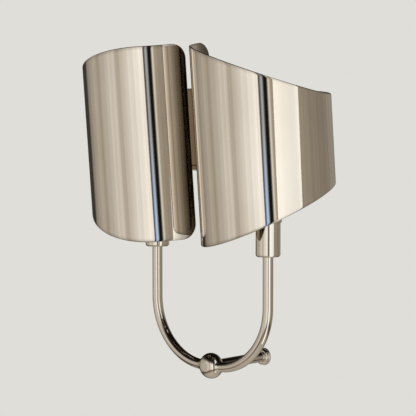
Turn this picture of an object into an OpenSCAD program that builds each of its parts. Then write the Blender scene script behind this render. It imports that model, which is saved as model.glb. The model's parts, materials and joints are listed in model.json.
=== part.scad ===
// Double-arm wall sconce candle holder.
// A short rod stands out from the wall and ends in a ball knuckle. A U-shaped fork of two
// bent tubes grows from the ball, parallel to the wall, and carries a candle cup on each leg.
// A tapered sheet, curled into three quarters of a circle, shades each candle and leans out
// from the wall a little at its top.
//
// Frame: +X along the wall, +Y into the wall, +Z up. The origin is on the rod's axis, in the
// plane where the sconce meets the wall, so the room is on the -Y side.

/* [Wall rod] */
// Distance from the wall to the centre of the ball
standoff = 75; // [60:1:110]
// Diameter of the rod
rod_d = 9.5; // [9:0.5:11]
// Diameter of the rosette against the wall
rosette_d = 16.8; // [15:0.2:30]
// Thickness of the rosette
rosette_t = 5.5; // [4:0.5:9]
// Diameter of the hole tapped into the rod for the wall screw (M6)
wall_tap_d = 5; // [4.2:0.1:5]
// Depth of that hole
wall_tap_depth = 15; // [10:1:25]

/* [Ball knuckle] */
// Diameter of the ball, across the arms
ball_d = 24; // [20:1:30]
// Thickness of the ball, along the rod
ball_t = 18; // [16:1:20]
// How far the fork can be tilted each way to level it
tilt_limit = 20; // [5:1:30]

/* [Fork] */
// Distance between the two legs, centre to centre
leg_spacing = 140; // [134:1:200]
// Outside diameter of the arm tubes
tube_d = 9.5; // [8:0.5:11]
// Wall thickness of the arm tubes
tube_wall = 0.75; // [0.5:0.05:1]
// Radius of the bend, to the tube's centre line
bend_r = 60; // [40:1:62]
// Height of the cups' undersides above the rod's axis
cup_z = 107; // [90:1:140]

/* [Candle cups] */
// Outside diameter of a candle cup
cup_d = 22.4; // [22:0.2:26]
// Height of a candle cup
cup_h = 48; // [44:1:60]
// Diameter of the socket for the candle, in the removable liner
candle_d = 19.2; // [19:0.1:19.3]
// Wall thickness of the liner
liner_wall = 0.4; // [0.3:0.05:0.5]

/* [Shades] */
// Outside radius of the curled sheet
shade_r = 62; // [58:1:64]
// Thickness of the sheet
sheet_t = 1.2; // [0.8:0.1:2]
// Height of the sheet where it is tallest
shade_h = 180; // [160:1:200]
// Height of the sheet at its short end
shade_h_short = 80; // [60:1:100]
// Height of the sheet's middle above the rod's axis
shade_mid_z = 210.5; // [205:0.5:230]
// Angle that the sheet covers in plan
shade_wrap = 278; // [260:1:300]
// How far the shades lean out from the wall
shade_lean = 5; // [0:0.5:5]
// How far the left shade is turned on its cup, anticlockwise from above
left_shade_turn = -11; // [-20:1:20]
// How far the right shade is turned on its cup, anticlockwise from above
right_shade_turn = 0; // [-20:1:20]
// Radius of the corners at the tall end
tall_corner_r = 14; // [10:1:30]
// Radius of the corners at the short end
short_corner_r = 12; // [6:1:20]

/* [Hidden] */

$fn = 96;
LEFT = -1;
RIGHT = 1;

run_gap = 0.05;     // radial clearance of a turning or sliding fit
rest_gap = 0.05;    // gap under a piece that rests on another and can move
cut = 1;            // overshoot of a cutting tool

nickel = [0.78, 0.72, 0.64];
dull_brass = [0.72, 0.60, 0.38];
steel = [0.60, 0.60, 0.60];
fibre = [0.55, 0.20, 0.12];
tin = [0.80, 0.80, 0.78];

leg_x = leg_spacing / 2;
tube_bore_d = tube_d - 2 * tube_wall;

// Ball and swivel
spigot_d = 7;
spigot_front = 5;                               // spigot length past the ball's centre
spigot_end_gap = 0.5;
ball_round_r = ball_t / 2;
ball_seat_r = 6;                                // flat on the ball's back for the washer
ball_seat_y = sqrt(pow(ball_round_r, 2) - pow(ball_seat_r - (ball_d / 2 - ball_round_r), 2));
washer_t = 0.8;
washer_inset = 0.3;                             // washer's edges, inside the seat and round the spigot
arm_depth_x = 5.2;                              // where the arm tubes stop inside the ball
grub_d = 4;
grub_len = 7.5;
dog_len = 1.5;
dog_d = 2.4;
groove_depth = 1;
groove_play = 0.3;
groove_w = dog_d + groove_play;
dog_tip_gap = 0.2;
dog_tip_z = -(spigot_d / 2 - groove_depth + dog_tip_gap);

// Cup stack, from the cup's underside upwards
cup_seat_t = 2;                                 // how deep the tube's end sits in the cup
cup_floor_t = 4.5;
cup_bore_d = candle_d + 2 * liner_wall + 2 * run_gap;
cup_top_z = cup_z + cup_h;
cup_round_r = 2;
rim_chamfer = 0.4;
bead_rise = 31;                                 // ledge that carries the shade's collar
bead_z = cup_z + bead_rise;
bead_h = 3;
bead_d = cup_d + 2.4;
stud_d = tube_bore_d;
stud_in_tube = 12;
cup_washer_d = 16;
cup_washer_t = 1.2;
cup_nut_h = 4.5;
cup_nut_af = 13;
nut_chamfer = 0.6;
stud_chamfer = 0.8;
stud_proud = 1;                                 // how far the stud stands out of its nut
stud_top_z = cup_z + cup_floor_t + cup_washer_t + cup_nut_h + stud_proud;
liner_over_stud = 1.5;
liner_bottom_z = stud_top_z + liner_over_stud;
liner_lip_t = 0.9;
liner_lip_d = cup_d + 1;

// Shade carrier
collar_z = bead_z + bead_h + rest_gap;
collar_h = 11;
collar_wall = 1.8;
collar_d = cup_d + 2 * run_gap + 2 * collar_wall;
strap_w = 8;
strap_t = 1.5;
strap_z = collar_z + collar_h / 2;
strap_angles = [-162, -110, -60];
pad_h = 12;
pad_t = 1;
pad_gap = 0.03;                                 // film of solder between pad and sheet
screw_angle = 140;
screw_d = 3;
screw_head_d = 8;
screw_head_h = 4;
screw_shank = 6;
shank_in_head = 0.5;
knurl_count = 24;
knurl_d = 0.9;
knurl_offset = 0.2;                             // groove centres lie this far outside the head

// Shade sheet: s is the length along the sheet, from its tall end
tall_end_angle = -180;
shade_inner_r = shade_r - sheet_t;
sheet_mid_r = shade_r - sheet_t / 2;
sheet_len = sheet_mid_r * shade_wrap * PI / 180;
taper_start = 44;
taper_end = sheet_len - 55;
corner_steps = 8;
body_steps = 84;

// Turn a piece drawn along +Z so that it points out from the wall, towards -Y
module out_from_wall(y) {
    translate([0, y, 0])
        rotate([90, 0, 0])
            children();
}

// Turn of a shade, as seen in the frame that handed pieces are drawn in
function shade_turn(side) = side == LEFT ? -left_shade_turn : right_shade_turn;

// Place a round piece, drawn on the Z axis, on the left or right leg
module on_leg(side) {
    translate([side * leg_x, -standoff, 0])
        children();
}

// The same for a piece that is handed: it is drawn for the right leg, and mirrored for the left
module handed_on_leg(side) {
    on_leg(side)
        mirror([side == LEFT ? 1 : 0, 0, 0])
            children();
}

// The same for a piece that turns on the cup with its shade
module turned_on_leg(side) {
    handed_on_leg(side)
        rotate([0, 0, shade_turn(side)])
            children();
}

// Lean a piece out from the wall, about the middle of the straps
module leaning() {
    translate([0, 0, strap_z])
        rotate([shade_lean, 0, 0])
            translate([0, 0, -strap_z])
                children();
}

// A plain ring standing on z = 0
module ring(outer_d, inner_d, h) {
    difference() {
        cylinder(d = outer_d, h = h);
        translate([0, 0, -cut])
            cylinder(d = inner_d, h = h + 2 * cut);
    }
}

// A hexagon bar with its corners turned off at both ends
module hex_blank(across_flats, h, chamfer) {
    corner_r = across_flats / 2 / cos(30);
    intersection() {
        cylinder(r = corner_r, h = h, $fn = 6);
        union() {
            cylinder(r1 = corner_r - chamfer, r2 = corner_r, h = chamfer);
            translate([0, 0, chamfer])
                cylinder(r = corner_r, h = h - 2 * chamfer);
            translate([0, 0, h - chamfer])
                cylinder(r1 = corner_r, r2 = corner_r - chamfer, h = chamfer);
        }
    }
}

// Rod from the wall to the ball, with the spigot that the ball turns on
module standoff_rod() {
    rod_len = standoff - ball_seat_y - washer_t;
    spigot_len = standoff + spigot_front - rod_len;
    color(nickel)
        difference() {
            union() {
                out_from_wall(0)
                    cylinder(d = rod_d, h = rod_len);
                out_from_wall(-rod_len)
                    cylinder(d = spigot_d, h = spigot_len);
            }
            out_from_wall(cut)
                cylinder(d = wall_tap_d, h = wall_tap_depth + cut);
            tilt_groove();
        }
}

// Groove part of the way round the spigot: its ends stop the screw's tip, and so the tilt
module tilt_groove() {
    dog_half_angle = asin(dog_d / 2 / (spigot_d / 2 - groove_depth));
    end_play = 2;                               // degrees left over at each end of the tilt
    half_angle = tilt_limit + dog_half_angle + end_play;
    translate([0, -standoff, 0])
        rotate([90, 0, 0])
            rotate([0, 0, -90 - half_angle])
                translate([0, 0, -groove_w / 2])
                    rotate_extrude(angle = 2 * half_angle)
                        translate([spigot_d / 2 - groove_depth, 0])
                            square([groove_depth + cut, groove_w]);
}

// Turned collar that covers the rod's joint with the wall
module wall_rosette() {
    flange_t = 1.8;
    step = 0.6;                                 // how far the bead sits inside the flange
    bead_r = (rosette_t - flange_t) / 2;
    bead_x = rosette_d / 2 - bead_r - step;
    color(nickel)
        difference() {
            out_from_wall(0)
                union() {
                    cylinder(d = rosette_d - flange_t, h = flange_t);
                    cylinder(r = bead_x, h = rosette_t);
                    rotate_extrude()
                        translate([rosette_d / 2 - flange_t / 2, flange_t / 2])
                            circle(d = flange_t, $fn = 32);
                    rotate_extrude()
                        translate([bead_x, rosette_t - bead_r])
                            circle(r = bead_r, $fn = 48);
                }
            out_from_wall(cut)
                cylinder(d = rod_d, h = rosette_t + 2 * cut);
        }
}

// Flattened ball that joins the two arms and turns on the rod's spigot
module ball_knuckle() {
    color(nickel)
        difference() {
            translate([0, -standoff, 0])
                rotate([90, 0, 0])
                    union() {
                        rotate_extrude()
                            translate([ball_d / 2 - ball_round_r, 0])
                                intersection() {
                                    circle(r = ball_round_r);
                                    translate([0, -ball_round_r])
                                        square([ball_round_r, 2 * ball_round_r]);
                                }
                        translate([0, 0, -ball_round_r])
                            cylinder(r = ball_d / 2 - ball_round_r, h = ball_t);
                    }
            // flat seat for the washer on the ball's back
            translate([0, -standoff + ball_seat_y, 0])
                rotate([-90, 0, 0])
                    cylinder(r = ball_d, h = ball_t);
            // blind bore for the spigot
            out_from_wall(-standoff + ball_t)
                cylinder(d = spigot_d + 2 * run_gap, h = ball_t + spigot_front + spigot_end_gap);
            for (side = [LEFT, RIGHT])
                rotate([0, side * 90, 0])
                    translate([0, -standoff, arm_depth_x])
                        cylinder(d = tube_d, h = ball_d);
            // tapped hole for the grub screw, from below
            translate([0, -standoff, -ball_d])
                cylinder(d = grub_d, h = ball_d);
        }
}

// Fibre washer between the rod's shoulder and the ball
module swivel_washer() {
    color(fibre)
        out_from_wall(-standoff + ball_seat_y + washer_t - rest_gap)
            ring(2 * (ball_seat_r - washer_inset), spigot_d + 2 * washer_inset, washer_t - rest_gap);
}

// Socket screw under the ball: its tip runs in the spigot's groove and sets the friction
module tilt_grub_screw() {
    dog_shoulder = 0.4;                         // room between the screw's body and the spigot
    body_top_z = -(spigot_d / 2 + dog_shoulder);
    body_len = grub_len - dog_len;
    socket_af = 2;
    socket_depth = 2.2;
    color(steel)
        translate([0, -standoff, 0])
            difference() {
                union() {
                    translate([0, 0, body_top_z - body_len])
                        cylinder(d = grub_d, h = body_len);
                    translate([0, 0, body_top_z - cut])
                        cylinder(d = dog_d, h = dog_tip_z - body_top_z + cut);
                }
                translate([0, 0, body_top_z - body_len - cut])
                    cylinder(d = socket_af / cos(30), h = socket_depth + cut, $fn = 6);
            }
}

// One arm: a stub out of the ball, a quarter bend and a straight leg
module arm_tube(side) {
    stub_x = leg_x - bend_r;
    leg_top_z = cup_z + cup_seat_t;
    color(nickel)
        translate([0, -standoff, 0])
            mirror([side == LEFT ? 1 : 0, 0, 0])
                union() {
                    translate([arm_depth_x, 0, 0])
                        rotate([0, 90, 0])
                            ring(tube_d, tube_bore_d, stub_x - arm_depth_x);
                    translate([stub_x, 0, bend_r])
                        rotate([90, 0, 0])
                            rotate([0, 0, -90])
                                rotate_extrude(angle = 90)
                                    translate([bend_r, 0])
                                        difference() {
                                            circle(d = tube_d);
                                            circle(d = tube_bore_d);
                                        }
                    translate([leg_x, 0, bend_r])
                        ring(tube_d, tube_bore_d, leg_top_z - bend_r);
                }
}

// Threaded stud brazed into the top of the leg
module cup_stud(side) {
    stud_len = stud_in_tube + stud_top_z - cup_z - cup_seat_t;
    color(steel)
        on_leg(side)
            translate([0, 0, cup_z + cup_seat_t - stud_in_tube])
                union() {
                    cylinder(d = stud_d, h = stud_len - stud_chamfer);
                    translate([0, 0, stud_len - stud_chamfer])
                        cylinder(d1 = stud_d, d2 = stud_d - 2 * stud_chamfer, h = stud_chamfer);
                }
}

// Candle cup: a turned cylinder with a floor, a rounded foot and a ledge for the collar
module candle_cup(side) {
    color(nickel)
        on_leg(side)
            difference() {
                union() {
                    translate([0, 0, cup_z + cup_round_r])
                        cylinder(d = cup_d, h = cup_h - cup_round_r - rim_chamfer);
                    translate([0, 0, cup_top_z - rim_chamfer])
                        cylinder(d1 = cup_d, d2 = cup_d - 2 * rim_chamfer, h = rim_chamfer);
                    translate([0, 0, cup_z])
                        cylinder(d = cup_d - 2 * cup_round_r, h = cup_round_r);
                    translate([0, 0, cup_z])
                        rotate_extrude()
                            translate([cup_d / 2 - cup_round_r, cup_round_r])
                                intersection() {
                                    circle(r = cup_round_r, $fn = 48);
                                    translate([0, -cup_round_r])
                                        square([cup_round_r, cup_round_r]);
                                }
                    translate([0, 0, bead_z])
                        cylinder(d = bead_d, h = bead_h);
                }
                translate([0, 0, cup_z + cup_floor_t])
                    cylinder(d = cup_bore_d, h = cup_h);
                translate([0, 0, cup_z - cut])
                    cylinder(d = stud_d, h = cup_floor_t + 2 * cut);
                translate([0, 0, cup_z - cut])
                    cylinder(d = tube_d, h = cup_seat_t + cut);
            }
}

// Washer on the stud, inside the cup
module cup_washer(side) {
    color(steel)
        on_leg(side)
            translate([0, 0, cup_z + cup_floor_t])
                ring(cup_washer_d, stud_d, cup_washer_t);
}

// Nut that clamps the cup to its leg
module cup_nut(side) {
    color(dull_brass)
        on_leg(side)
            translate([0, 0, cup_z + cup_floor_t + cup_washer_t])
                difference() {
                    hex_blank(cup_nut_af, cup_nut_h, nut_chamfer);
                    translate([0, 0, -cut])
                        cylinder(d = stud_d, h = cup_nut_h + 2 * cut);
                }
}

// Thin liner that holds the candle and lifts out to be cleaned of wax
module candle_liner(side) {
    lip_z = cup_top_z + rest_gap;
    color(tin)
        on_leg(side)
            difference() {
                union() {
                    translate([0, 0, liner_bottom_z])
                        cylinder(d = candle_d + 2 * liner_wall, h = lip_z - liner_bottom_z + liner_lip_t);
                    translate([0, 0, lip_z])
                        cylinder(d = liner_lip_d - liner_lip_t, h = liner_lip_t);
                    translate([0, 0, lip_z + liner_lip_t / 2])
                        rotate_extrude()
                            translate([(liner_lip_d - liner_lip_t) / 2, 0])
                                circle(d = liner_lip_t, $fn = 24);
                }
                translate([0, 0, liner_bottom_z + 2 * liner_wall])
                    cylinder(d = candle_d, h = cup_h);
            }
}

// Sleeve that turns on the cup and carries the shade
module shade_collar(side) {
    color(nickel)
        turned_on_leg(side)
            difference() {
                translate([0, 0, collar_z])
                    ring(collar_d, cup_d + 2 * run_gap, collar_h);
                rotate([0, 0, screw_angle])
                    translate([0, 0, strap_z])
                        rotate([0, 90, 0])
                            cylinder(d = screw_d, h = collar_d);
            }
}

// How far above the plane that it leans in a pad sits, so that it is level with its strap
function pad_lift(r, angle) = -r * sin(angle) * tan(shade_lean);

// Flat straps from the collar to the sheet, each with a curved pad soldered inside the sheet
module shade_straps(side) {
    pad_outer_r = shade_inner_r - pad_gap;
    pad_angle = strap_w / pad_outer_r * 180 / PI;
    strap_start = sqrt(pow(collar_d / 2, 2) - pow(strap_w / 2, 2));
    strap_end = pad_outer_r - pad_t;
    color(dull_brass)
        handed_on_leg(side)
            for (angle = [for (a = strap_angles) a + shade_turn(side)])
                union() {
                    difference() {
                        rotate([0, 0, angle])
                            translate([strap_start, -strap_w / 2, strap_z - strap_t / 2])
                                cube([strap_end + pad_t / 2 - strap_start, strap_w, strap_t]);
                        translate([0, 0, collar_z])
                            cylinder(d = collar_d, h = collar_h);
                    }
                    leaning()
                        rotate([0, 0, angle - pad_angle / 2])
                            translate([0, 0, strap_z + pad_lift(pad_outer_r, angle) - pad_h / 2])
                                rotate_extrude(angle = pad_angle)
                                    translate([strap_end, 0])
                                        square([pad_t, pad_h]);
                }
}

// Knurled screw that locks the collar on the cup
module collar_screw(side) {
    tip_r = cup_d / 2 + run_gap;
    head_r = tip_r + screw_shank;
    color(dull_brass)
        turned_on_leg(side)
            rotate([0, 0, screw_angle])
                translate([0, 0, strap_z])
                    rotate([0, 90, 0])
                        difference() {
                            union() {
                                translate([0, 0, tip_r])
                                    cylinder(d = screw_d, h = screw_shank + shank_in_head);
                                translate([0, 0, head_r])
                                    cylinder(d = screw_head_d, h = screw_head_h);
                            }
                            for (i = [0 : knurl_count - 1])
                                rotate([0, 0, i * 360 / knurl_count])
                                    translate([screw_head_d / 2 + knurl_offset, 0, head_r - cut])
                                        cylinder(d = knurl_d, h = screw_head_h + 2 * cut, $fn = 16);
                        }
}

// Fraction of the way down the taper at length s, easing in and out
function taper_fraction(s) =
    let (t = max(0, min(1, (s - taper_start) / (taper_end - taper_start))))
    (1 - cos(180 * t)) / 2;

// How far a rounded corner of radius r cuts into the half height, at distance d from the end
function corner_cut(d, r) = d < r ? r - sqrt(r * r - (r - d) * (r - d)) : 0;

// Half of the sheet's height at length s
function half_height(s) =
    shade_h / 2
    - (shade_h - shade_h_short) / 2 * taper_fraction(s)
    - corner_cut(s, tall_corner_r)
    - corner_cut(sheet_len - s, short_corner_r);

// Lengths at which the sheet's outline is drawn, closer together round its corners
sheet_stations = concat(
    [for (i = [0 : corner_steps - 1]) tall_corner_r * (1 - cos(90 * i / corner_steps))],
    [for (i = [0 : body_steps])
        tall_corner_r + i / body_steps * (sheet_len - tall_corner_r - short_corner_r)],
    [for (i = [1 : corner_steps]) sheet_len - short_corner_r * (1 - sin(90 * i / corner_steps))]
);

function sheet_point(r, s, z) =
    let (angle = tall_end_angle + s / sheet_len * shade_wrap)
    [r * cos(angle), r * sin(angle), shade_mid_z + z];

// Shade: a tapered sheet with rounded corners, curled round the candle
module shade(side) {
    last = len(sheet_stations) - 1;
    points = [
        for (s = sheet_stations)
            let (h = half_height(s))
            each [
                sheet_point(shade_r, s, -h),
                sheet_point(shade_r, s, h),
                sheet_point(shade_inner_r, s, h),
                sheet_point(shade_inner_r, s, -h)
            ]
    ];
    walls = [
        for (i = [0 : last - 1], k = [0 : 3])
            let (a = 4 * i + k, b = 4 * i + (k + 1) % 4)
            each [[a, b, b + 4], [a, b + 4, a + 4]]
    ];
    ends = [
        [2, 1, 0],
        [3, 2, 0],
        [4 * last, 4 * last + 1, 4 * last + 2],
        [4 * last, 4 * last + 2, 4 * last + 3]
    ];
    color(nickel)
        handed_on_leg(side)
            leaning()
                rotate([0, 0, shade_turn(side)])
                    polyhedron(points = points, faces = concat(walls, ends));
}

standoff_rod();
wall_rosette();
ball_knuckle();
swivel_washer();
tilt_grub_screw();
arm_tube(LEFT);  // arm_tube_left
arm_tube(RIGHT);  // arm_tube_right
cup_stud(LEFT);  // cup_stud_left
cup_stud(RIGHT);  // cup_stud_right
candle_cup(LEFT);  // candle_cup_left
candle_cup(RIGHT);  // candle_cup_right
cup_washer(LEFT);  // cup_washer_left
cup_washer(RIGHT);  // cup_washer_right
cup_nut(LEFT);  // cup_nut_left
cup_nut(RIGHT);  // cup_nut_right
candle_liner(LEFT);  // candle_liner_left
candle_liner(RIGHT);  // candle_liner_right
shade_collar(LEFT);  // shade_collar_left
shade_collar(RIGHT);  // shade_collar_right
shade_straps(LEFT);  // shade_straps_left
shade_straps(RIGHT);  // shade_straps_right
collar_screw(LEFT);  // collar_screw_left
collar_screw(RIGHT);  // collar_screw_right
shade(LEFT);  // shade_left
shade(RIGHT);  // shade_right
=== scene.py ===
import json
import math

import bpy
from mathutils import Matrix, Vector


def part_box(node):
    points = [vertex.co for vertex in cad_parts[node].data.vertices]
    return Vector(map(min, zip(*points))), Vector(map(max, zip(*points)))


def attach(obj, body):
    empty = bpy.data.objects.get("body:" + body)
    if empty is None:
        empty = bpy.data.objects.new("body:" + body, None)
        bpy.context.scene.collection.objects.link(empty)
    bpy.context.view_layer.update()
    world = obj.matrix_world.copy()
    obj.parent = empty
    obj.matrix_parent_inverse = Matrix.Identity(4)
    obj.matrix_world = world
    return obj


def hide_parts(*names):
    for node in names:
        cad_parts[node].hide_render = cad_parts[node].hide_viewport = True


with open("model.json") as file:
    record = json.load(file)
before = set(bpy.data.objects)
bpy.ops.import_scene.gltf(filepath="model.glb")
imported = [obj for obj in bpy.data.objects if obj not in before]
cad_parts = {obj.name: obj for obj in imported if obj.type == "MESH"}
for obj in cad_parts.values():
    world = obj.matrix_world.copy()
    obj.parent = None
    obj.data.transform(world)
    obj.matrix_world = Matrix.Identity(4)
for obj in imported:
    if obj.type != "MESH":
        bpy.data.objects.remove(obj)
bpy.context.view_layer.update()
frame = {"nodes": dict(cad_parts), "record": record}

MM = 0.001
SIDES = {"left": -1, "right": 1}


# ---------------------------------------------------------------- sizes, worked out from the frame

def middle(node):
    """The middle of a CAD node's box."""
    low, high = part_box(node)
    return (low + high) / 2


def spread(node):
    """How far a CAD node reaches along each axis."""
    low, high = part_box(node)
    return high - low


def heights(node):
    """The lowest and the highest z of a CAD node."""
    low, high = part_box(node)
    return low.z, high.z


RUN_GAP = 0.05 * MM                                # radial clearance of a turning or sliding fit
REST_GAP = 0.05 * MM                               # gap beside a piece that rests on another

LEG_X = middle("candle_cup_right").x
FORK_Y = middle("arm_tube_right").y
TUBE_R = spread("arm_tube_right").y / 2
TUBE_WALL = 0.75 * MM
TUBE_BORE_R = TUBE_R - TUBE_WALL
ARM_START_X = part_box("arm_tube_right")[0].x
ARM_TOP_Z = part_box("arm_tube_right")[1].z
BEND_R = 60 * MM

ROD_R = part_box("standoff_rod")[1].x
SHOULDER_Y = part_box("swivel_washer")[1].y + REST_GAP
SPIGOT_R = 3.5 * MM
WALL_BORE_R = 2.5 * MM
WALL_BORE_DEPTH = 15 * MM

CUP_Z, CUP_TOP_Z = heights("candle_cup_right")
CUP_BEAD_R = spread("candle_cup_right").x / 2
CUP_BEAD_OUT = 1.2 * MM                            # how far the bead stands out from the cup
CUP_R = CUP_BEAD_R - CUP_BEAD_OUT
CANDLE_R = 9.6 * MM
LINER_WALL = 0.4 * MM
CUP_BORE_R = CANDLE_R + LINER_WALL + RUN_GAP

SHADE_R = spread("shade_right").x / 2
SHEET_T = 1.2 * MM
SHADE_MID_Z = 210.5 * MM
SHADE_H = 180 * MM                                 # height of the sheet's tall end
SHORT_H = 80 * MM                                  # and of its short end
SHADE_WRAP = math.radians(278)
SHADE_LEAN = math.radians(5)
SHADE_TURN = {"left": math.radians(-11), "right": 0.0}
TALL_CORNER_R = 14 * MM
SHORT_CORNER_R = 12 * MM
SHEET_LEN = (SHADE_R - SHEET_T / 2) * SHADE_WRAP
TAPER_START = 44 * MM
TAPER_END = SHEET_LEN - 55 * MM
PAINTED_GAP_SHADE_LEN = 23 * MM                              # painted shade at the tall end, where the two shades face each other across a narrow gap
STRAP_Z = middle("shade_collar_right").z           # the shades lean about this height
STRAP_ANGLES = (-162, -110, -60)
SCREW_ANGLE = 140


# ---------------------------------------------------------------- mesh building

ARC_STEPS = 5                                      # faces round a rounded corner
CORNER_SHARE = 0.45                                # the most of an edge that one corner takes up
SUPPORT_SHARE = 0.12                               # how far past its arc a support point lies
ON_AXIS = 1e-7


def make_object(name, verts, faces, material):
    mesh = bpy.data.meshes.new(name)
    mesh.from_pydata([tuple(v) for v in verts], [], faces)
    mesh.validate()
    mesh.update()
    for polygon in mesh.polygons:
        polygon.use_smooth = True
    mesh.materials.append(material)
    obj = bpy.data.objects.new(name, mesh)
    bpy.context.scene.collection.objects.link(obj)
    return obj


def rounded(points, radii, closed=False):
    """A polyline with its corners turned into arcs, and a support point on each side of an arc.
    A corner with a radius of 0 stays sharp."""
    out = []
    count = len(points)
    for i, (point, radius) in enumerate(zip(points, radii)):
        if radius <= 0 or (not closed and i in (0, count - 1)):
            out.append(point)
            continue
        here = Vector(point)
        to_last = Vector(points[i - 1]) - here
        to_next = Vector(points[(i + 1) % count]) - here
        half = to_last.angle(to_next) / 2
        reach = min(radius / math.tan(half), CORNER_SHARE * to_last.length, CORNER_SHARE * to_next.length)
        radius = reach * math.tan(half)
        back, ahead = to_last.normalized(), to_next.normalized()
        start = here + back * reach
        end = here + ahead * reach
        centre = here + (back + ahead).normalized() * (radius / math.sin(half))
        support = SUPPORT_SHARE * reach
        out.append(tuple(start + back * support))
        from_start, from_end = start - centre, end - centre
        turn = from_start.angle(from_end)
        for k in range(ARC_STEPS + 1):
            t = k / ARC_STEPS
            start_weight = math.sin((1 - t) * turn) / math.sin(turn)
            end_weight = math.sin(t * turn) / math.sin(turn)
            out.append(tuple(centre + from_start * start_weight + from_end * end_weight))
        out.append(tuple(end + ahead * support))
    return out


def half_round(centre_r, centre_z, radius, steps, first=1):
    """Points up the outside of a half round, from its underside, which is left out, to its top."""
    turns = [math.pi * k / steps for k in range(first, steps + 1)]
    return [(centre_r + radius * math.sin(t), centre_z - radius * math.cos(t)) for t in turns]


def lathe(name, profile, place, material, segments=128, closed=False, flute=None):
    """Turns a profile of (radius, height) points round the local Z axis, then puts it in place.
    A flute takes something off a radius, by radius, height and direction."""
    verts, rings = [], []
    for radius, height in profile:
        if radius < ON_AXIS:
            rings.append([len(verts)])
            verts.append(place @ Vector((0, 0, height)))
            continue
        ring = []
        for k in range(segments):
            angle = 2 * math.pi * k / segments
            ring.append(len(verts))
            r = radius - flute(radius, height, angle) if flute else radius
            verts.append(place @ Vector((r * math.cos(angle), r * math.sin(angle), height)))
        rings.append(ring)
    faces = []
    pairs = list(zip(rings, rings[1:]))
    if closed:
        pairs.append((rings[-1], rings[0]))
    for lower, upper in pairs:
        for k in range(segments):
            n = (k + 1) % segments
            if len(lower) == 1:
                faces.append((lower[0], upper[n], upper[k]))
            elif len(upper) == 1:
                faces.append((lower[k], lower[n], upper[0]))
            else:
                faces.append((lower[k], lower[n], upper[n], upper[k]))
    return make_object(name, verts, faces, material)


def out_from_wall():
    """Local +Z points out from the wall, towards -Y."""
    return Matrix.Rotation(math.radians(90), 4, "X")


def at_leg(side, z):
    return Matrix.Translation((side * LEG_X, FORK_Y, z))


def sweep(name, path, outer_r, inner_r, material, segments=64):
    """A hollow tube along points in a plane of constant y, with rounded rims at both ends."""
    rim = (outer_r - inner_r) / 2
    mid_r = (outer_r + inner_r) / 2
    last = len(path) - 1
    tangents = []
    for i in range(last + 1):
        before, after = path[max(i - 1, 0)], path[min(i + 1, last)]
        tangents.append((after - before).normalized())
    # rows of (point of the path, radius, shift along it): from the middle of the first rim out and
    # along the outside, round the last rim, back along the bore, and in to where it began
    rows = []
    steps = 4
    for k in range(steps + 1):
        angle = math.pi / 2 * (1 - k / steps)
        rows.append((0, mid_r + rim * math.cos(angle), -rim * math.sin(angle)))
    for i in range(1, last):
        rows.append((i, outer_r, 0.0))
    for k in range(2 * steps + 1):
        angle = math.pi / 2 * k / steps
        rows.append((last, mid_r + rim * math.cos(angle), rim * math.sin(angle)))
    for i in range(last - 1, 0, -1):
        rows.append((i, inner_r, 0.0))
    for k in range(steps):
        angle = math.pi / 2 * k / steps
        rows.append((0, mid_r - rim * math.cos(angle), -rim * math.sin(angle)))
    verts, faces = [], []
    side = Vector((0, 1, 0))
    for i, radius, shift in rows:
        tangent = tangents[i]
        up = side.cross(tangent).normalized()
        inset = rim if i == 0 else (-rim if i == last else 0.0)
        centre = path[i] + tangent * (inset + shift)
        for k in range(segments):
            angle = 2 * math.pi * k / segments
            verts.append(centre + (up * math.cos(angle) + side * math.sin(angle)) * radius)
    for i in range(len(rows)):
        j = (i + 1) % len(rows)
        for k in range(segments):
            n = (k + 1) % segments
            faces.append((i * segments + k, i * segments + n, j * segments + n, j * segments + k))
    return make_object(name, verts, faces, material)


# ---------------------------------------------------------------- the curled sheet

SHEET_COLUMNS, SHEET_ROWS = 170, 30
# ripples that hand rolling left: length and depth along the sheet, and the height over which they sway
LONG_WAVE, LONG_WAVE_DEPTH, LONG_WAVE_SWAY = 19 * MM, 0.16 * MM, 60 * MM
SHORT_WAVE, SHORT_WAVE_DEPTH, SHORT_WAVE_SWAY = 4.7 * MM, 0.012 * MM, 45 * MM


def taper(s):
    """How far the sheet has come down from its tall height at length s, from 0 to 1."""
    t = min(max((s - TAPER_START) / (TAPER_END - TAPER_START), 0), 1)
    return (1 - math.cos(math.pi * t)) / 2


def straight_half_height(s):
    """Half of the sheet's height at length s, as if its corners were square."""
    return SHADE_H / 2 - (SHADE_H - SHORT_H) / 2 * taper(s)


def sheet_edge(columns, rows):
    """The sheet's outline in (length, height), as bottom, top, tall end and short end rows of points."""
    def corner(s_end, direction, radius, turn):
        # turn runs from 0, on the end, to 90 degrees, on the long edge
        s = s_end + direction * radius * (1 - math.cos(turn))
        return s, straight_half_height(s) - radius * (1 - math.sin(turn))

    def end_row(s_end, direction, radius):
        turns = [math.radians(45 * k / arc) for k in range(arc, -1, -1)]
        upper = [corner(s_end, direction, radius, turn) for turn in turns]
        half = upper[-1][1]
        straight = [(s_end, half - 2 * half * k / rows) for k in range(1, rows)]
        lower = [(s, -h) for s, h in reversed(upper)]
        return list(reversed(upper + straight + lower))

    arc = 8                                        # steps in half of a corner
    tall_turns = [math.radians(45 + 45 * k / arc) for k in range(arc)]
    short_turns = [math.radians(90 - 45 * (k + 1) / arc) for k in range(arc)]
    first, last = TALL_CORNER_R, SHEET_LEN - SHORT_CORNER_R
    lengths = [first + (last - first) * k / columns for k in range(columns + 1)]
    top = [corner(0, 1, TALL_CORNER_R, turn) for turn in tall_turns]
    top += [(s, straight_half_height(s)) for s in lengths]
    top += [corner(SHEET_LEN, -1, SHORT_CORNER_R, turn) for turn in short_turns]
    bottom = [(s, -h) for s, h in top]
    return bottom, top, end_row(0, 1, TALL_CORNER_R), end_row(SHEET_LEN, -1, SHORT_CORNER_R)


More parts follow.
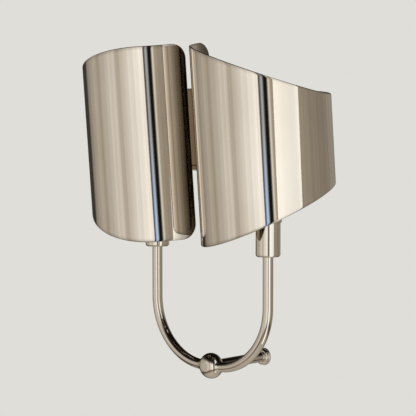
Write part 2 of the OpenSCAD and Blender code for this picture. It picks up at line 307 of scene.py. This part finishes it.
def fill_outline(bottom, top, start, end):
    """Fills a four-sided outline with a grid. Rows run from bottom to top, columns from start to end."""
    columns, rows = len(bottom) - 1, len(start) - 1
    grid = []
    for i in range(columns + 1):
        u = i / columns
        column = []
        for j in range(rows + 1):
            v = j / rows
            point = []
            for axis in (0, 1):
                ruled = (1 - v) * bottom[i][axis] + v * top[i][axis]
                ruled += (1 - u) * start[j][axis] + u * end[j][axis]
                corners = (1 - u) * (1 - v) * bottom[0][axis] + u * (1 - v) * bottom[-1][axis]
                corners += (1 - u) * v * top[0][axis] + u * v * top[-1][axis]
                point.append(ruled - corners)
            column.append(tuple(point))
        grid.append(column)
    return grid


def ripple(s, z):
    """How far hand rolling left the sheet inside its true circle."""
    long_wave = 0.5 + 0.5 * math.sin(s / LONG_WAVE + 0.9 * math.sin(z / LONG_WAVE_SWAY))
    short_wave = 0.5 + 0.5 * math.sin(s / SHORT_WAVE + 1.3 + 0.6 * math.sin(z / SHORT_WAVE_SWAY + 1))
    return LONG_WAVE_DEPTH * long_wave + SHORT_WAVE_DEPTH * short_wave


def curl(s, z, depth):
    """Curls a point of the flat sheet round the Z axis. Depth is its distance in from the outside face."""
    angle = -math.pi + s / SHEET_LEN * SHADE_WRAP
    radius = SHADE_R - depth - ripple(s, z)
    return Vector((radius * math.cos(angle), radius * math.sin(angle), SHADE_MID_Z + z))


def shade_place(side_name):
    """Takes a sheet curled for the right leg, on the Z axis, to its own leg: mirrored, turned and leaning."""
    side = SIDES[side_name]
    lean = Matrix.Rotation(SHADE_LEAN, 4, "X")
    turn = Matrix.Rotation(SHADE_TURN[side_name], 4, "Z")
    mirror = Matrix.Diagonal((side, 1, 1, 1))
    return at_leg(side, STRAP_Z) @ lean @ turn @ mirror @ Matrix.Translation((0, 0, -STRAP_Z))


def inset_loop(loop, distance):
    """Moves a closed outline inwards."""
    out = []
    count = len(loop)
    for i, point in enumerate(loop):
        before, after = Vector(loop[i - 1]), Vector(loop[(i + 1) % count])
        along = (after - before).normalized()
        out.append((point[0] - along.y * distance, point[1] + along.x * distance))
    return out


def build_shade(side_name):
    """The sheet as two skins and a half-round rim. Each vertex carries its share of two kinds of painted
    shade: near the tall end and along the rim.
    """
    bottom, top, start, end = sheet_edge(SHEET_COLUMNS, SHEET_ROWS)
    columns, rows = len(bottom) - 1, len(start) - 1
    # anticlockwise round the flat sheet: along the bottom, up the short end, back, and down
    loop = bottom[:-1] + end[:-1] + top[:0:-1] + start[:0:-1]
    rim = SHEET_T / 2
    inset = inset_loop(loop, rim)
    turn_back = columns + rows
    inset_bottom = inset[:columns + 1]
    inset_end = inset[columns:turn_back + 1]
    inset_top = list(reversed(inset[turn_back:turn_back + columns + 1]))
    inset_start = list(reversed(inset[turn_back + columns:] + inset[:1]))
    grid = fill_outline(inset_bottom, inset_top, inset_start, inset_end)
    place = shade_place(side_name)
    verts, faces, edge_share, painted_gap_shade = [], [], [], []

    def add(s, z, depth, share):
        verts.append(place @ curl(s, z, depth))
        # share of the painted shade along the rim
        edge_share.append(share)
        # painted shade near the tall end, fading out along the sheet
        painted_gap_shade.append(max(1 - (s / PAINTED_GAP_SHADE_LEN) ** 2, 0))
        return len(verts) - 1

    def near_edge(i, j):
        return max(0.0, 1 - min(i, j, columns - i, rows - j) / 2)

    def add_skin(depth):
        return [[add(s, z, depth, near_edge(i, j)) for j, (s, z) in enumerate(column)]
                for i, column in enumerate(grid)]

    def ring_of(skin):
        ring = [skin[i][0] for i in range(columns)] + [skin[columns][j] for j in range(rows)]
        ring += [skin[i][rows] for i in range(columns, 0, -1)]
        return ring + [skin[0][j] for j in range(rows, 0, -1)]

    outer = add_skin(0)
    inner = add_skin(SHEET_T)
    for i in range(columns):
        for j in range(rows):
            faces.append((outer[i][j], outer[i + 1][j], outer[i + 1][j + 1], outer[i][j + 1]))
            faces.append((inner[i][j], inner[i][j + 1], inner[i + 1][j + 1], inner[i + 1][j]))
    rim_steps = 6
    rings = [ring_of(outer)]
    for k in range(1, rim_steps):
        angle = math.pi / 2 - math.pi * k / rim_steps
        moved = inset_loop(loop, rim * (1 - math.cos(angle)))
        rings.append([add(s, z, rim * (1 - math.sin(angle)), 1.0) for s, z in moved])
    rings.append(ring_of(inner))
    for ring_a, ring_b in zip(rings, rings[1:]):
        for k in range(len(loop)):
            n = (k + 1) % len(loop)
            faces.append((ring_a[k], ring_b[k], ring_b[n], ring_a[n]))
    if SIDES[side_name] < 0:
        faces = [tuple(reversed(face)) for face in faces]
    obj = make_object(f"curled_shade_{side_name}", verts, faces, nickel_sheet)
    for label, values in (("edge_share", edge_share), ("painted_gap_shade", painted_gap_shade)):
        attribute = obj.data.attributes.new(label, "FLOAT", "POINT")
        attribute.data.foreach_set("value", values)
    return obj


# ---------------------------------------------------------------- materials

def node_material(name):
    material = bpy.data.materials.new(name)
    material.use_nodes = True
    tree = material.node_tree
    return material, tree, tree.nodes["Principled BSDF"]


def add_node(tree, kind, **values):
    node = tree.nodes.new(kind)
    for key, value in values.items():
        setattr(node, key, value)
    return node


def stretched_noise(tree, scale, stretch, detail):
    """Noise in the object's own coordinates, drawn out along the axes where stretch is small."""
    coords = add_node(tree, "ShaderNodeTexCoord")
    mapping = add_node(tree, "ShaderNodeMapping")
    mapping.inputs["Scale"].default_value = stretch
    noise = add_node(tree, "ShaderNodeTexNoise")
    noise.inputs["Scale"].default_value = scale
    noise.inputs["Detail"].default_value = detail
    tree.links.new(coords.outputs["Object"], mapping.inputs["Vector"])
    tree.links.new(mapping.outputs["Vector"], noise.inputs["Vector"])
    return noise.outputs["Fac"]


def ramp(tree, value, stops):
    """Turns a value into a colour, between stops of (value, colour)."""
    node = add_node(tree, "ShaderNodeValToRGB")
    elements = node.color_ramp.elements
    while len(elements) < len(stops):
        elements.new(0.5)
    for element, (position, colour) in zip(elements, stops):
        element.position = position
        element.color = (*colour, 1)
    tree.links.new(value, node.inputs["Fac"])
    return node.outputs["Color"]


def remap(tree, value, low, high, from_low=0.0, from_high=1.0):
    """Stretches a value so that from_low becomes low and from_high becomes high, and stops there."""
    node = add_node(tree, "ShaderNodeMapRange")
    node.inputs["From Min"].default_value = from_low
    node.inputs["From Max"].default_value = from_high
    node.inputs["To Min"].default_value = low
    node.inputs["To Max"].default_value = high
    tree.links.new(value, node.inputs["Value"])
    return node.outputs["Result"]


def metal(name, light, dark, rough, grain, bump=0.02):
    """Plated or bare metal: a slow drift of tone, cloudy roughness, and fine polishing lines."""
    material, tree, shader = node_material(name)
    shader.inputs["Metallic"].default_value = 1.0
    drift = stretched_noise(tree, scale=22, stretch=(1, 1, 0.6), detail=4)
    tree.links.new(ramp(tree, drift, [(0.35, dark), (0.62, light)]), shader.inputs["Base Color"])
    cloud = stretched_noise(tree, scale=55, stretch=(1, 1, 1), detail=5)
    tree.links.new(remap(tree, cloud, *rough), shader.inputs["Roughness"])
    lines = stretched_noise(tree, scale=900, stretch=grain, detail=2)
    bumps = add_node(tree, "ShaderNodeBump")
    bumps.inputs["Strength"].default_value = bump
    bumps.inputs["Distance"].default_value = 0.05 * MM
    tree.links.new(lines, bumps.inputs["Height"])
    tree.links.new(bumps.outputs["Normal"], shader.inputs["Normal"])
    return material


def add_painted_shade(material, attribute, colour, strength):
    """Paints shade onto a metal: tones it towards a darker colour, as far as an attribute of the mesh says.
    """
    tree = material.node_tree
    shader = tree.nodes["Principled BSDF"]
    share = add_node(tree, "ShaderNodeAttribute", attribute_name=attribute)
    amount = add_node(tree, "ShaderNodeMath", operation="MULTIPLY")
    mottle = stretched_noise(tree, scale=70, stretch=(1, 1, 0.25), detail=4)
    tree.links.new(share.outputs["Fac"], amount.inputs[0])
    tree.links.new(remap(tree, mottle, strength * 0.8, strength), amount.inputs[1])
    tone = add_node(tree, "ShaderNodeMix", data_type="RGBA")
    tone.inputs["B"].default_value = (*colour, 1)
    tree.links.new(amount.outputs[0], tone.inputs["Factor"])
    tree.links.new(shader.inputs["Base Color"].links[0].from_socket, tone.inputs["A"])
    tree.links.new(tone.outputs["Result"], shader.inputs["Base Color"])


def fibre_material():
    material, tree, shader = node_material("red_fibre")
    fleck = stretched_noise(tree, scale=600, stretch=(1, 0.2, 1), detail=6)
    colours = ramp(tree, fleck, [(0.35, (0.20, 0.045, 0.025)), (0.7, (0.36, 0.10, 0.06))])
    tree.links.new(colours, shader.inputs["Base Color"])
    tree.links.new(remap(tree, fleck, 0.55, 0.8), shader.inputs["Roughness"])
    return material


NICKEL_LIGHT = (0.80, 0.735, 0.645)
NICKEL_DARK = (0.76, 0.69, 0.595)
# name, light and dark tones, range of roughness, stretch of the polishing lines, and their bump
nickel = metal("polished_nickel", NICKEL_LIGHT, NICKEL_DARK, (0.035, 0.085), (1, 1, 0.3))
nickel_sheet = metal("polished_nickel_sheet", NICKEL_LIGHT, NICKEL_DARK, (0.02, 0.05), (1, 1, 0.05))
# painted shade at the tall end of each sheet, where it faces the other shade
add_painted_shade(nickel_sheet, "painted_gap_shade", (0.10, 0.07, 0.045), 0.93)
# painted shade along the sheet's rim, for dark lines at its edges
add_painted_shade(nickel_sheet, "edge_share", (0.30, 0.27, 0.23), 0.55)
satin = metal("satin_nickel", (0.66, 0.62, 0.55), (0.58, 0.53, 0.46), (0.22, 0.34), (1, 1, 0.2), 0.08)
tin = metal("bright_liner", (0.74, 0.73, 0.70), (0.66, 0.64, 0.60), (0.12, 0.24), (0.2, 0.2, 1), 0.08)
brass = metal("turned_brass", (0.80, 0.62, 0.34), (0.66, 0.48, 0.24), (0.16, 0.30), (0.3, 0.3, 1), 0.08)
steel = metal("plain_steel", (0.56, 0.56, 0.56), (0.46, 0.45, 0.44), (0.25, 0.4), (0.3, 0.3, 1), 0.1)
fibre = fibre_material()


# ---------------------------------------------------------------- pieces

def finish_piece(obj, body, slot, *nodes):
    """Puts a piece on its CAD body and hides the CAD nodes that it stands for. The slot is not used."""
    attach(obj, body)
    if nodes:
        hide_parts(*nodes)


# Rod, rosette and braze

def threaded_bore(radius, depth, pitch, groove):
    """Profile of a tapped blind hole, from its mouth to the middle of its drilled bottom."""
    points = [(radius + groove, 0), (radius, groove)]
    turns = int((depth - groove) / pitch)
    for k in range(turns):
        z = groove + k * pitch
        points += [(radius, z + 0.15 * pitch), (radius + groove, z + 0.5 * pitch), (radius, z + 0.85 * pitch)]
    return points + [(radius, depth), (0, depth + radius * 0.5)]


def build_rod():
    length = -SHOULDER_Y
    end = -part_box("standoff_rod")[0].y
    face, edge, inner_edge = 0.6 * MM, 0.45 * MM, 0.1 * MM
    outline = [
        (ROD_R - face, 0), (ROD_R, 0), (ROD_R, length), (SPIGOT_R, length), (SPIGOT_R, end), (0, end),
    ]
    outside = rounded(outline, [0, edge, edge, inner_edge, edge, 0])
    bore = threaded_bore(WALL_BORE_R, WALL_BORE_DEPTH, pitch=1 * MM, groove=0.35 * MM)
    return lathe("wall_rod", list(reversed(bore)) + outside, out_from_wall(), nickel)


def build_rosette():
    """A thin flange with a round edge, and a bead on it that closes on the rod."""
    flange_t, step = 1.8 * MM, 0.6 * MM
    wide, high, _ = spread("wall_rosette")
    flange_r, bead_r = flange_t / 2, (high - flange_t) / 2
    flange_x = wide / 2 - flange_r
    bead_x = wide / 2 - bead_r - step
    rod_gap, lip, lip_drop = 0.02 * MM, 0.1 * MM, 0.12 * MM
    points = [(ROD_R + rod_gap, 0), (flange_x, 0)]
    points += half_round(flange_x, flange_r, flange_r, steps=12)
    points += half_round(bead_x, high - bead_r, bead_r, steps=14, first=2)
    # the broken edge where the bead meets the rod
    points += [(ROD_R + 0.45 * MM, high), (ROD_R + lip, high - lip_drop), (ROD_R + rod_gap, high - 0.5 * MM)]
    return lathe("rosette", points, out_from_wall(), nickel, closed=True)


def build_braze(side_name):
    """Fillet of braze where an arm enters the ball."""
    # (out from the tube's surface, along the tube from the ball's centre), in millimetres
    outline = [
        (-0.3, 8.6), (1.3, 8.6), (1.35, 9.8), (1.1, 10.65), (0.65, 11.15), (0.30, 11.7), (0.10, 12.3),
        (0.02, 13.1), (-0.3, 13.2),
    ]
    points = [(TUBE_R + out * MM, along * MM) for out, along in outline]
    turn = Matrix.Rotation(math.radians(90 * SIDES[side_name]), 4, "Y")
    place = Matrix.Translation((0, FORK_Y, 0)) @ turn
    return lathe(f"braze_fillet_{side_name}", points, place, nickel, closed=True)


# Arms, cups and liners

def arm_path(side):
    """The middle line of an arm: out from the ball, round the bend, and up the leg."""
    bend_x = LEG_X - BEND_R
    bend_steps, leg_steps = 56, 10
    points = [(ARM_START_X, 0), ((ARM_START_X + bend_x) / 2, 0)]
    for k in range(bend_steps + 1):
        angle = math.pi / 2 * k / bend_steps
        points.append((bend_x + BEND_R * math.sin(angle), BEND_R - BEND_R * math.cos(angle)))
    leg_len = ARM_TOP_Z - BEND_R
    points += [(LEG_X, BEND_R + leg_len * k / leg_steps) for k in range(1, leg_steps + 1)]
    return [Vector((side * x, FORK_Y, z)) for x, z in points]


def build_arm(side_name):
    return sweep(f"bent_arm_{side_name}", arm_path(SIDES[side_name]), TUBE_R, TUBE_BORE_R, nickel)


def build_cup(side_name):
    """A cup with a seat for the tube below its floor, and a bead outside that carries the collar."""
    high = CUP_TOP_Z - CUP_Z
    seat_z, floor_z = 2 * MM, 4.5 * MM
    bead_low, bead_high = 31 * MM, 34 * MM
    outline = [
        (TUBE_R, seat_z), (TUBE_R, 0), (CUP_R, 0), (CUP_R, bead_low), (CUP_BEAD_R, bead_low),
        (CUP_BEAD_R, bead_high), (CUP_R, bead_high), (CUP_R, high), (CUP_BORE_R, high),
        (CUP_BORE_R, floor_z), (TUBE_BORE_R, floor_z), (TUBE_BORE_R, seat_z),
    ]
    radii = [r * MM for r in (0.05, 0.25, 2, 0.3, 0.6, 0.45, 0.2, 0.4, 0.2, 0.6, 0.1, 0.05)]
    profile = rounded(outline, radii, closed=True)
    return lathe(f"turned_cup_{side_name}", profile, at_leg(SIDES[side_name], CUP_Z), nickel, closed=True)


def build_liner(side_name):
    """A thin spun tube with a floor, and a rolled lip that rests on the cup."""
    node = f"candle_liner_{side_name}"
    low, high = heights(node)
    tall = high - low
    lip_t = 0.9 * MM
    lip_r = lip_t / 2
    lip_x = spread(node).x / 2 - lip_r
    outer = CANDLE_R + LINER_WALL
    floor_z = 2 * LINER_WALL
    edge = 0.5 * MM
    outside = [(0, 0), (outer, 0), (outer, tall - lip_t), (lip_x, tall - lip_t)]
    inside = [(lip_x - 0.2 * MM, tall), (CANDLE_R, tall), (CANDLE_R, floor_z), (0, floor_z)]
    points = rounded(outside, [0, edge, 0.15 * MM, 0])
    points += half_round(lip_x, tall - lip_r, lip_r, steps=8)
    points += rounded(inside, [0, edge, 0.6 * MM, 0])
    return lathe(f"drip_liner_{side_name}", points, at_leg(SIDES[side_name], low), tin)


# What carries a shade

def build_collar(side_name):
    """A ring that turns on the cup, with a fine groove near its top and its bottom."""
    node = f"shade_collar_{side_name}"
    low, high = heights(node)
    tall = high - low
    inner, outer = CUP_R + RUN_GAP, spread(node).x / 2
    groove_z, groove_half, groove_depth = 4.1 * MM, 0.3 * MM, 0.35 * MM
    outline = [(inner, 0), (outer, 0)]
    for z in (tall / 2 - groove_z, tall / 2 + groove_z):
        outline += [(outer, z - groove_half), (outer - groove_depth, z), (outer, z + groove_half)]
    outline += [(outer, tall), (inner, tall)]
    radii = [r * MM for r in (0.3, 0.5, 0.1, 0.15, 0.1, 0.1, 0.15, 0.1, 0.5, 0.3)]
    profile = rounded(outline, radii, closed=True)
    return lathe(f"turning_collar_{side_name}", profile, at_leg(SIDES[side_name], low), satin, closed=True)


def build_screw(side_name):
    """Thumb screw through the collar: a knurled head with a dished end, on a threaded shank."""
    side = SIDES[side_name]
    shank_r, shank_len = 1.5 * MM, 6 * MM
    pitch, thread_depth, lead_in = 0.5 * MM, 0.22 * MM, 0.3 * MM
    head_r, head_t, dish, dish_edge = 4 * MM, 4 * MM, 0.4 * MM, 1.3 * MM
    teeth, tooth_depth = 24, 0.3 * MM
    tip = CUP_R + RUN_GAP
    head = tip + shank_len
    top = head + head_t
    points = [(0, tip), (shank_r - lead_in, tip)]
    for k in range(int((head - tip) / pitch)):
        z = tip + lead_in + k * pitch
        points += [(shank_r, z), (shank_r - thread_depth, z + pitch / 2)]
    outline = [(shank_r, head), (head_r, head), (head_r, top), (head_r - dish_edge, top), (0, top - dish)]
    points += rounded(outline, [0, 0.4 * MM, 0.5 * MM, 0.5 * MM, 0])

    def knurl(radius, height, angle):
        if radius < head_r - tooth_depth or height < head:
            return 0
        return tooth_depth * (0.5 + 0.5 * math.cos(teeth * angle)) ** 2

    turn = Matrix.Rotation(SHADE_TURN[side_name], 4, "Z")
    direction = math.radians(SCREW_ANGLE if side > 0 else 180 - SCREW_ANGLE)
    aim = Matrix.Rotation(direction, 4, "Z") @ Matrix.Rotation(math.radians(90), 4, "Y")
    place = at_leg(side, STRAP_Z) @ turn @ aim
    return lathe(f"thumb_screw_{side_name}", points, place, brass, segments=8 * teeth, flute=knurl)


def rounded_section(wide, thick, corner, steps=4):
    """Outline of a bar's section, anticlockwise, as (across, up) points."""
    half_w, half_t = wide / 2 - corner, thick / 2 - corner
    out = []
    for quarter, (sx, sz) in enumerate([(1, 1), (-1, 1), (-1, -1), (1, -1)]):
        for k in range(steps + 1):
            angle = math.pi / 2 * (quarter + k / steps)
            out.append((sx * half_w + corner * math.cos(angle), sz * half_t + corner * math.sin(angle)))
    return out


def add_bar(verts, faces, rings):
    """Adds rings of points as a solid bar, with a cap at each end."""
    first = len(verts)
    size = len(rings[0])
    for ring in rings:
        verts.extend(ring)
    for i in range(len(rings) - 1):
        for k in range(size):
            n = (k + 1) % size
            a, b = first + i * size, first + (i + 1) * size
            faces.append((a + k, a + n, b + n, b + k))
    faces.append(tuple(first + k for k in reversed(range(size))))
    last = first + (len(rings) - 1) * size
    faces.append(tuple(last + k for k in range(size)))


def build_straps(side_name):
    """Flat straps from the collar to the sheet, each with a curved pad and a fillet of solder."""
    side = SIDES[side_name]
    strap_w, strap_t, strap_edge = 8 * MM, 1.5 * MM, 0.35 * MM
    pad_h, pad_t, pad_edge, pad_corner = 12 * MM, 1 * MM, 0.35 * MM, 0.3 * MM
    fillet_len, fillet_w = 3 * MM, 1.3 * MM
    solder_film = 0.03 * MM
    pad_r = SHADE_R - SHEET_T - solder_film
    start = spread(f"shade_collar_{side_name}").x / 2 - 0.49 * MM
    end = pad_r - pad_t / 2
    # (distance out, how much the solder widens the strap there)
    stations = [(start, 0.0), ((start + end) / 2, 0.0), (end - fillet_len, 0.0)]
    stations += [(end - fillet_len * (1 - t), fillet_w * t * t) for t in (0.25, 0.5, 0.75, 0.95)]
    # (place across the pad from -1 to 1, how far its edge is drawn in there)
    marks = [(-1, -pad_edge), (-0.97, -0.3 * pad_edge), (-0.93, 0)]
    marks += [(u, 0) for u in (-0.6, -0.2, 0.2, 0.6)]
    marks += [(0.93, 0), (0.97, -0.3 * pad_edge), (1, -pad_edge)]
    half_pad = strap_w / pad_r / 2
    place = at_leg(side, STRAP_Z) @ Matrix.Diagonal((side, 1, 1, 1))
    lean = Matrix.Rotation(SHADE_LEAN, 4, "X")
    verts, faces = [], []
    for degrees in STRAP_ANGLES:
        angle = math.radians(degrees) + side * SHADE_TURN[side_name]
        spin = Matrix.Rotation(angle, 4, "Z")
        rings = []
        for x, flare in stations:
            section = rounded_section(strap_w + flare, strap_t + 1.4 * flare, strap_edge)
            rings.append([place @ spin @ Vector((x, across, up)) for across, up in section])
        add_bar(verts, faces, rings)
        # the pad is a bar that runs round the inside of the sheet, at the height where the strap meets it
        lift = -pad_r * math.sin(angle) * math.tan(SHADE_LEAN)
        rings = []
        for u, pull in marks:
            section = rounded_section(pad_h + 2 * pull, pad_t + 1.6 * pull, pad_corner)
            about = Matrix.Rotation(angle + u * half_pad, 4, "Z")
            ring = [Vector((end - thick, 0, lift + tall)) for tall, thick in section]
            rings.append([place @ lean @ about @ point for point in ring])
        add_bar(verts, faces, rings)
    if side < 0:
        faces = [tuple(reversed(face)) for face in faces]
    return make_object(f"strap_set_{side_name}", verts, faces, satin)


finish_piece(build_rod(), "wall_bracket", "polished_nickel", "standoff_rod")
finish_piece(build_rosette(), "wall_bracket", "polished_nickel", "wall_rosette")
for side_name in SIDES:
    finish_piece(build_braze(side_name), "fork", "polished_nickel")
    finish_piece(build_arm(side_name), "fork", "polished_nickel", f"arm_tube_{side_name}")
    finish_piece(build_cup(side_name), "fork", "polished_nickel", f"candle_cup_{side_name}")
    finish_piece(build_liner(side_name), f"liner_{side_name}", "tinned_liner", f"candle_liner_{side_name}")
    assembly = f"shade_assembly_{side_name}"
    finish_piece(build_collar(side_name), assembly, "satin_nickel", f"shade_collar_{side_name}")
    finish_piece(build_screw(side_name), assembly, "brass", f"collar_screw_{side_name}")
    finish_piece(build_straps(side_name), assembly, "satin_nickel", f"shade_straps_{side_name}")
    finish_piece(build_shade(side_name), assembly, "polished_nickel_sheet", f"shade_{side_name}")

# CAD nodes that stay as they are take the material of their slot
SLOT_MATERIALS = {
    "polished_nickel": nickel, "satin_nickel": satin, "tinned_liner": tin,
    "brass": brass, "steel": steel, "red_fibre": fibre, "polished_nickel_sheet": nickel_sheet,
}
for part in frame["record"]["subparts"]:
    obj = frame["nodes"][part["node"]]
    obj.data.materials[0] = SLOT_MATERIALS[part["material_slot"]]


# ---------------------------------------------------------------- stage, light and camera

FLOOR_Z, FLOOR_R = -0.9, 4
FLOOR_FADE = (1.0, 3.6)                            # the floor thins out between these radii

# What the polished metal sees round the room, by compass direction in degrees: 0 is +X, -90 is the
# viewer's side. Each stop is (direction, brightness, warmth), from dark corners to pale walls.
# Warmth above 0 is tan, and below 0 it is bluish.
ROOM = [
    (-180, 0.32, 0.75), (-165, 0.45, 0.75), (-155, 0.53, 0.7), (-147, 0.43, 0.95), (-139, 0.50, 0.7),
    (-124, 0.66, 0.35), (-107, 0.76, 0.4), (-103, 0.54, 0.75), (-97, 0.60, 0.6), (-89, 0.72, 0.45),
    (-77, 0.90, 0.14), (-66, 1.04, 0.10), (-53, 1.14, 0.12), (-52, 0.06, -0.6), (-50.5, 0.10, -0.8),
    (-48.5, 0.50, -0.7), (-46, 0.42, -0.5), (-44.5, 0.01, 0), (-38.5, 0.01, 0), (-37, 0.95, 0.3),
    (-33, 0.42, 1.0), (-22, 0.34, 1.2), (-12, 0.24, 1.5), (4, 0.16, 1.5), (15, 0.38, 1.0),
    (33, 0.31, 1.0), (68, 0.26, 1.0), (95, 0.34, 0.9), (125, 0.26, 0.8), (138, 0.05, 0.75),
    (172, 0.05, 0.75), (180, 0.32, 0.75),
]

# A low window in the same directions, as (direction, share seen). It shows blue where the reflection
# dips below the first of two values of z, and in full from the second.
WINDOW = [(-51, 0), (-49.5, 1), (-46, 1), (-44.5, 0)]
WINDOW_DIP = (-0.165, -0.24)
WINDOW_BLUE = (0.13, 0.36, 0.82)

# Tones by height, from straight down at 0 to straight up at 1
WALL_TONES = [
    (0.0, (0.1, 0.1, 0.1)), (0.24, (0.14, 0.11, 0.08)),
    (0.31, (0.90, 0.88, 0.86)), (0.36, (1, 1, 1)), (0.60, (1, 1, 1)),
    (0.72, (0.22, 0.21, 0.20)), (0.80, (0.02, 0.018, 0.016)), (1.0, (0.02, 0.018, 0.016)),
]
FLOOR_GLOW = [(0.0, (0.46, 0.43, 0.38)), (0.13, (0.40, 0.37, 0.33)), (0.24, (0, 0, 0))]


def stage_floor():
    """A pale floor far below, which thins out to nothing at its rim."""
    bpy.ops.mesh.primitive_circle_add(vertices=96, radius=FLOOR_R, fill_type="NGON", location=(0, 0, FLOOR_Z))
    floor = bpy.context.object
    floor.name = "stage_floor"
    floor.visible_glossy = False
    material, tree, shader = node_material("pale_floor")
    shader.inputs["Base Color"].default_value = (0.74, 0.72, 0.68, 1)
    shader.inputs["Roughness"].default_value = 0.9
    shader.inputs["Specular IOR Level"].default_value = 0.1
    coords = add_node(tree, "ShaderNodeTexCoord")
    length = add_node(tree, "ShaderNodeVectorMath", operation="LENGTH")
    tree.links.new(coords.outputs["Object"], length.inputs[0])
    tree.links.new(remap(tree, length.outputs["Value"], 1, 0, *FLOOR_FADE), shader.inputs["Alpha"])
    floor.data.materials.append(material)


def tone(level, warmth):
    return level, level * (1 - 0.10 * warmth), level * (1 - 0.24 * warmth)


def on_compass(degrees):
    """A compass direction as a place on a ramp."""
    return (degrees + 180) / 360


def add_vectors(tree, first, second):
    node = add_node(tree, "ShaderNodeVectorMath", operation="ADD")
    tree.links.new(first, node.inputs[0])
    tree.links.new(second, node.inputs[1])
    return node.outputs[0]


def low_window(tree, around, height):
    """The blue light of the window, by direction and height."""
    beam = ramp(tree, around, [(on_compass(degrees), (share, share, share)) for degrees, share in WINDOW])
    window = add_node(tree, "ShaderNodeVectorMath", operation="SCALE")
    tree.links.new(beam, window.inputs[0])
    tree.links.new(remap(tree, height, 0, 1, *WINDOW_DIP), window.inputs["Scale"])
    blue = add_node(tree, "ShaderNodeVectorMath", operation="MULTIPLY")
    blue.inputs[1].default_value = WINDOW_BLUE
    tree.links.new(window.outputs[0], blue.inputs[0])
    return blue.outputs[0]


def room_world():
    """A plain pale background for the camera, and a room for the metal to reflect."""
    world = bpy.data.worlds.new("studio")
    bpy.context.scene.world = world
    world.use_nodes = True
    tree = world.node_tree
    tree.nodes.clear()
    link = tree.links.new
    coords = add_node(tree, "ShaderNodeTexCoord")
    split = add_node(tree, "ShaderNodeSeparateXYZ")
    link(coords.outputs["Generated"], split.inputs["Vector"])
    compass = add_node(tree, "ShaderNodeMath", operation="ARCTAN2")
    link(split.outputs["Y"], compass.inputs[0])
    link(split.outputs["X"], compass.inputs[1])
    around = remap(tree, compass.outputs[0], 0, 1, -math.pi, math.pi)
    rise = remap(tree, split.outputs["Z"], 0, 1, -1, 1)

    # the walls all round, with the window low down in one of them
    stops = [(on_compass(degrees), tone(level, warmth)) for degrees, level, warmth in ROOM]
    walls = add_vectors(tree, ramp(tree, around, stops), low_window(tree, around, split.outputs["Z"]))

    # a dark ceiling above the walls, a dim floor below them, and the pale floor close below the sconce
    shaded = add_node(tree, "ShaderNodeMix", data_type="RGBA", blend_type="MULTIPLY")
    shaded.inputs["Factor"].default_value = 1
    link(walls, shaded.inputs["A"])
    link(ramp(tree, rise, WALL_TONES), shaded.inputs["B"])
    lit = add_vectors(tree, shaded.outputs["Result"], ramp(tree, rise, FLOOR_GLOW))

    # soft streaks: folds of curtain and edges of furniture
    streaks = add_node(tree, "ShaderNodeTexNoise", noise_dimensions="1D")
    streaks.inputs["Scale"].default_value = 9.0
    streaks.inputs["Detail"].default_value = 3.0
    link(compass.outputs[0], streaks.inputs["W"])

    reflected = add_node(tree, "ShaderNodeBackground")
    link(lit, reflected.inputs["Color"])
    link(remap(tree, streaks.outputs["Fac"], 0.78, 1.22), reflected.inputs["Strength"])
    plain = add_node(tree, "ShaderNodeBackground")
    plain.inputs["Color"].default_value = (0.745, 0.73, 0.69, 1)
    path = add_node(tree, "ShaderNodeLightPath")
    choose = add_node(tree, "ShaderNodeMixShader")
    link(path.outputs["Is Camera Ray"], choose.inputs["Fac"])
    link(reflected.outputs[0], choose.inputs[1])
    link(plain.outputs[0], choose.inputs[2])
    out = add_node(tree, "ShaderNodeOutputWorld")
    link(choose.outputs[0], out.inputs["Surface"])


def side_panel():
    """A tall pale panel to the right of the sconce. It shows as a stripe down the right shade and its cup."""
    panel_z = 0.10
    place = Vector((LEG_X + 0.252, FORK_Y - 0.066, panel_z))
    aim = Vector((LEG_X + 0.05, FORK_Y - 0.03, panel_z))
    light = bpy.data.lights.new("side_panel", "AREA")
    light.shape = "RECTANGLE"
    light.size, light.size_y = 0.18, 1.0
    light.energy = 0.53
    light.color = (0.92, 0.965, 1.0)
    obj = bpy.data.objects.new("side_panel", light)
    obj.location = place
    obj.rotation_euler = (aim - place).to_track_quat("-Z", "Y").to_euler()
    obj.visible_camera = False
    bpy.context.scene.collection.objects.link(obj)


def overhead_light():
    """Lights the floor evenly, so that it stays a plain pale grey."""
    sun = bpy.data.lights.new("overhead", "SUN")
    sun.energy = 2.6
    sun.angle = math.radians(70)
    sun.color = (1, 0.985, 0.95)
    obj = bpy.data.objects.new("overhead", sun)
    obj.visible_glossy = False
    bpy.context.scene.collection.objects.link(obj)


def photo_camera():
    """The photograph's view: from the right and a little above, with a long lens."""
    azimuth, rise, distance = math.radians(43.1), math.radians(4.92), 1.75
    aim_left, aim_up = 0.003, 0.007                # the sconce stands a little off the picture's middle
    right = Vector((math.cos(azimuth), math.sin(azimuth), 0))
    back = Vector((math.sin(azimuth) * math.cos(rise), -math.cos(azimuth) * math.cos(rise), math.sin(rise)))
    middle_of_fork = Vector((0, FORK_Y, 0.140))
    aim = middle_of_fork - aim_left * right + Vector((0, 0, aim_up))
    camera = bpy.data.objects.new("camera", bpy.data.cameras.new("camera"))
    camera.location = middle_of_fork + distance * back
    camera.rotation_euler = (aim - camera.location).to_track_quat("-Z", "Y").to_euler()
    camera.data.lens = 164
    camera.data.sensor_width = 36
    bpy.context.scene.collection.objects.link(camera)
    bpy.context.scene.camera = camera


stage_floor()
room_world()
overhead_light()
side_panel()
photo_camera()
bpy.context.scene.view_settings.view_transform = "Standard"
